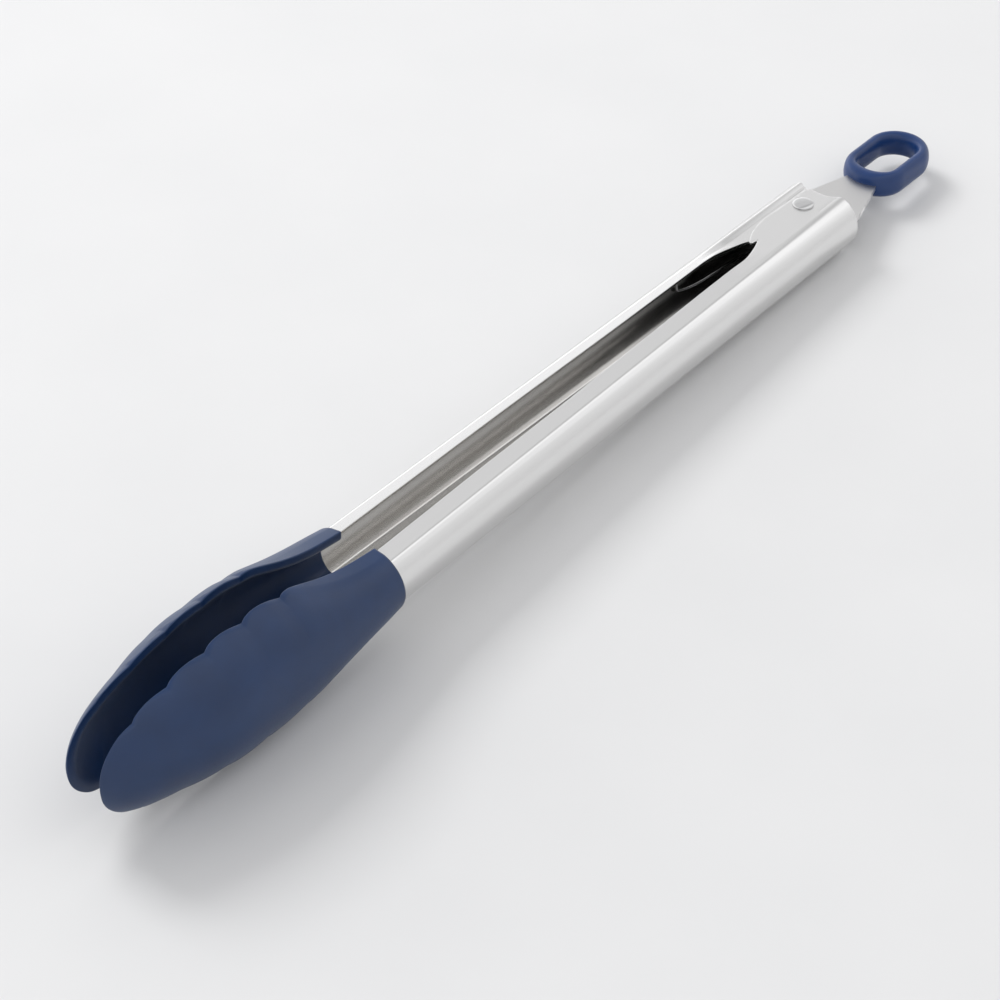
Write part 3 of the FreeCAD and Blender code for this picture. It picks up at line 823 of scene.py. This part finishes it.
def bump(tree, shader, value, depth):
    """Raise the surface by noise, depth in mm."""
    node = add_node(tree, "Bump", {"Distance": depth * MM})
    tree.links.new(value, node.inputs["Height"])
    tree.links.new(node.outputs["Normal"], shader.inputs["Normal"])


def steel_material(name, light, roughness, streak=(60.0, 0.3, 0.3)):
    """Satin stainless steel, brushed along its streaks."""
    dark = [value * BRUSHED_SHADE for value in light]
    material, tree, shader = new_material(name, light, roughness, 1.0)
    lines = grain(tree, streak)
    tree.links.new(tint(tree, lines, dark, light), shader.inputs["Base Color"])
    tree.links.new(spread(tree, lines, roughness - BRUSHED_SPREAD,
                          roughness + BRUSHED_SPREAD), shader.inputs["Roughness"])
    return material


def arm_material(light, roughness):
    """The arms' steel, with painted shade: a duller, darker inside that turns darker still
    towards the pivot.
    """
    material = steel_material("steel_satin", light, roughness)
    tree = material.node_tree
    link = tree.links.new
    colour = tree.nodes["Principled BSDF"].inputs["Base Color"]

    place = add_node(tree, "TexCoord")
    from_pivot = add_node(tree, "VectorMath", {1: PIVOT}, operation="SUBTRACT")
    weighted = add_node(tree, "VectorMath", {1: INSIDE_WEIGHTS}, operation="MULTIPLY")
    outward = add_node(tree, "VectorMath", operation="DOT_PRODUCT")
    link(place.outputs["Object"], from_pivot.inputs[0])
    link(from_pivot.outputs["Vector"], weighted.inputs[0])
    link(weighted.outputs["Vector"], outward.inputs[0])
    link(place.outputs["Normal"], outward.inputs[1])
    inside_share = add_node(tree, "MapRange", {"From Min": INSIDE_FROM * MM,
                                               "From Max": INSIDE_FULL * MM})
    link(outward.outputs["Value"], inside_share.inputs["Value"])

    split = add_node(tree, "SeparateXYZ")
    dark_share = add_node(tree, "MapRange", {"From Min": SHADE_FROM * MM,
                                             "From Max": SHADE_FULL * MM})
    link(from_pivot.outputs["Vector"], split.inputs["Vector"])
    link(split.outputs["X"], dark_share.inputs["Value"])

    # painted shade for the inside, darkening towards the pivot
    painted_shade = add_node(tree, "Mix", {"A": INSIDE_SHADE_STEEL, "B": PIVOT_SHADE_STEEL}, data_type="RGBA")
    both = add_node(tree, "Mix", data_type="RGBA")
    link(dark_share.outputs["Result"], painted_shade.inputs["Factor"])
    link(inside_share.outputs["Result"], both.inputs["Factor"])
    link(colour.links[0].from_socket, both.inputs["A"])
    link(painted_shade.outputs["Result"], both.inputs["B"])
    link(both.outputs["Result"], colour)
    return material


def silicone_material(name, colour, roughness):
    """Satin moulded silicone with a fine matt texture."""
    material, tree, shader = new_material(name, colour, roughness)
    shader.inputs["Specular IOR Level"].default_value = 0.5
    shader.inputs["Sheen Weight"].default_value = 0.05
    shader.inputs["Sheen Roughness"].default_value = 0.4
    shader.inputs["Sheen Tint"].default_value = (0.75, 0.85, 1.0, 1.0)
    clouds = grain(tree, CLOUD_SIZES, 3.0)
    dark = [value * (1 - CLOUD_DEPTH) for value in colour]
    light = [value * (1 + CLOUD_DEPTH) for value in colour]
    tree.links.new(tint(tree, clouds, dark, light), shader.inputs["Base Color"])
    matt = grain(tree, MATT_SIZES)
    tree.links.new(spread(tree, matt, roughness - MATT_SPREAD, roughness + MATT_SPREAD),
                   shader.inputs["Roughness"])
    bump(tree, shader, matt, MATT_HEIGHT)
    return material


def nylon_material():
    """Natural nylon, slightly mottled."""
    dark, light = (0.72, 0.71, 0.66), (0.78, 0.77, 0.73)
    material, tree, shader = new_material("nylon_natural", light, 0.5)
    clouds = grain(tree, (1.5, 1.5, 1.5))
    tree.links.new(tint(tree, clouds, dark, light), shader.inputs["Base Color"])
    tree.links.new(spread(tree, clouds, 0.45, 0.6), shader.inputs["Roughness"])
    bump(tree, shader, grain(tree, (0.2, 0.2, 0.2)), 0.004)
    return material


# ------------------------------------------------------------------------ studio
HEAD_REST = 245.0             # mm from the pivot to where the heads touch the table
TABLE_HALF = 4.0              # metres
TABLE_GAP = 0.2               # mm left under the tongs

CAMERA_PAN = radians(52.254)  # the view's direction, from +Y towards +X
CAMERA_DIP = radians(37.708)  # below the horizon
CAMERA_ROLL = radians(0.253)
CAMERA_TARGET = (-155.0, -10.2, 0.0)    # mm from the pivot
CAMERA_DISTANCE = 760.9       # mm
CAMERA_LENS = 107.32

LIGHT_TARGET = (-118.0, 0.0, 0.0)       # mm from the pivot
LIGHT_RISE = radians(45)
LIGHT_DISTANCE, LIGHT_SIZE, LIGHT_WATTS = 2.6, 1.0, 33.0    # metres and watts

# Brightness of the surroundings, from the rear arm's horizon (0) over the top (0.5)
# to the front arm's horizon (1): a bright wall, a dim ceiling, and a soft box that
# hangs just on the front arm's side of the top.
SURROUNDINGS = ((0.00, 1.90), (0.08, 1.80), (0.14, 1.02), (0.20, 1.00), (0.29, 0.80),
                (0.42, 0.84), (0.47, 0.66), (0.50, 0.52), (0.545, 0.58), (0.59, 1.15),
                (0.64, 1.30), (0.74, 1.05), (0.85, 0.85), (1.00, 0.75))
COOLNESS = 1.01               # how much stronger their blue is


def make_floor():
    """A plain pale table, tilted so that the heads and the lower rivet rest on it."""
    head_x, head_z = PIVOT[0] - HEAD_REST * MM, CAD_BOX[0][2]
    slope = (RIVET_LOW[2] - head_z) / (PIVOT[0] - head_x)
    half = TABLE_HALF
    corners = [(x, y, head_z + (x - head_x) * slope - TABLE_GAP * MM)
               for x, y in ((-half, -half), (half, -half), (half, half), (-half, half))]
    mesh = bpy.data.meshes.new("floor")
    mesh.from_pydata(corners, [], [(0, 1, 2, 3)])
    floor = bpy.data.objects.new("floor", mesh)
    bpy.context.scene.collection.objects.link(floor)
    material, tree, shader = new_material("pale_table", (0.68, 0.68, 0.682), 0.5)
    clouds = grain(tree, (60.0, 60.0, 60.0), 4.0)
    tree.links.new(tint(tree, clouds, (0.67, 0.671, 0.673), (0.69, 0.69, 0.691)),
                   shader.inputs["Base Color"])
    mesh.materials.append(material)


def view_axes():
    """The camera's forward, right and up directions."""
    forward = Vector((sin(CAMERA_PAN) * cos(CAMERA_DIP),
                      cos(CAMERA_PAN) * cos(CAMERA_DIP), -sin(CAMERA_DIP)))
    right = Vector((cos(CAMERA_PAN), -sin(CAMERA_PAN), 0.0))
    up = right.cross(forward)
    rolled_right = right * cos(CAMERA_ROLL) + up * sin(CAMERA_ROLL)
    rolled_up = up * cos(CAMERA_ROLL) - right * sin(CAMERA_ROLL)
    return forward, rolled_right, rolled_up


def make_camera():
    """A long lens that looks down along the tongs from the heads' end."""
    forward, right, up = view_axes()
    target = Vector(to_frame(CAMERA_TARGET).tolist())
    place = target - forward * CAMERA_DISTANCE * MM
    data = bpy.data.cameras.new("camera")
    data.lens = CAMERA_LENS
    data.sensor_width = 36.0
    data.clip_start = 0.01
    camera = bpy.data.objects.new("camera", data)
    camera.matrix_world = Matrix((
        (right.x, up.x, -forward.x, place.x),
        (right.y, up.y, -forward.y, place.y),
        (right.z, up.z, -forward.z, place.z),
        (0, 0, 0, 1)))
    bpy.context.scene.collection.objects.link(camera)
    bpy.context.scene.camera = camera


def make_key_light():
    """One large soft box on the rear arm's side, half way up."""
    toward = Vector((0.0, cos(LIGHT_RISE), sin(LIGHT_RISE)))
    centre = Vector(to_frame(LIGHT_TARGET).tolist())
    data = bpy.data.lights.new("key_light", "AREA")
    data.shape = "SQUARE"
    data.size = LIGHT_SIZE
    data.energy = LIGHT_WATTS
    light = bpy.data.objects.new("key_light", data)
    light.visible_glossy = False
    light.location = centre + toward * LIGHT_DISTANCE
    light.rotation_euler = toward.to_track_quat("Z", "Y").to_euler()
    bpy.context.scene.collection.objects.link(light)


def make_world():
    """Plain surroundings, whose brightness changes only from side to side."""
    world = bpy.data.worlds.new("studio")
    world.use_nodes = True
    tree = world.node_tree
    link = tree.links.new
    place = add_node(tree, "TexCoord")
    split = add_node(tree, "SeparateXYZ")
    angle = add_node(tree, "Math", operation="ARCTAN2")
    turn = add_node(tree, "Math", {1: pi}, operation="DIVIDE")
    ramp = add_node(tree, "ValToRGB")
    ramp.color_ramp.interpolation = "EASE"
    stops = ramp.color_ramp.elements
    for position, light in SURROUNDINGS:
        at_end = position in (0.0, 1.0)
        stop = stops[-int(position)] if at_end else stops.new(position)
        stop.color = (light, light, light * COOLNESS, 1.0)
    link(place.outputs["Generated"], split.inputs["Vector"])
    link(split.outputs["Z"], angle.inputs[0])
    link(split.outputs["Y"], angle.inputs[1])
    link(angle.outputs["Value"], turn.inputs[0])
    link(turn.outputs["Value"], ramp.inputs["Fac"])
    link(ramp.outputs["Color"], tree.nodes["Background"].inputs["Color"])
    bpy.context.scene.world = world


def make_studio():
    """The table, the camera, the light and the surroundings."""
    make_floor()
    make_camera()
    make_key_light()
    make_world()
    bpy.context.scene.view_settings.view_transform = "Standard"


# ------------------------------------------------------------------- whole object
def make_tongs():
    """All pieces with their materials, and materials for the CAD nodes that stay."""
    # the arms' steel has painted shade on its inside
    steel = arm_material((0.78, 0.777, 0.772), 0.26)
    polished = steel_material("steel_polished", (0.64, 0.64, 0.64), 0.26,
                              (0.6, 0.6, 0.6))
    plate = steel_material("steel_plate", (0.66, 0.655, 0.65), 0.33, (9.0, 0.2, 0.2))
    wire = steel_material("spring_wire", (0.5, 0.5, 0.5), 0.22, (2.0, 0.3, 0.3))
    turned = steel_material("steel_turned", (0.62, 0.62, 0.62), 0.3, (3.0, 3.0, 0.15))
    navy = silicone_material("silicone_navy", (0.0045, 0.025, 0.086), 0.42)
    ring = silicone_material("silicone_ring", (0.004, 0.030, 0.125), 0.36)
    nylon = nylon_material()

    make_arm("rear_arm_sheet", REAR_EAR, REAR_EDGE, REAR_OUTLINE, steel, "rear",
             "rear_arm", False)
    make_arm("front_arm_sheet", FRONT_EAR, FRONT_EDGE, FRONT_OUTLINE, steel, "front",
             "front_arm", True)
    make_head("rear_head_scoop", navy, "rear", "rear_head", False)
    make_head("front_head_scoop", navy, "front", "front_head", True)
    make_rivet(polished)
    make_spring(wire)
    make_plate(plate)
    make_ring(ring)
    for node, material in (("pivot_sleeve", turned), ("upper_washer", nylon),
                           ("lower_washer", nylon)):
        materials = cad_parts[node].data.materials
        materials.clear()
        materials.append(material)


make_tongs()
make_studio()
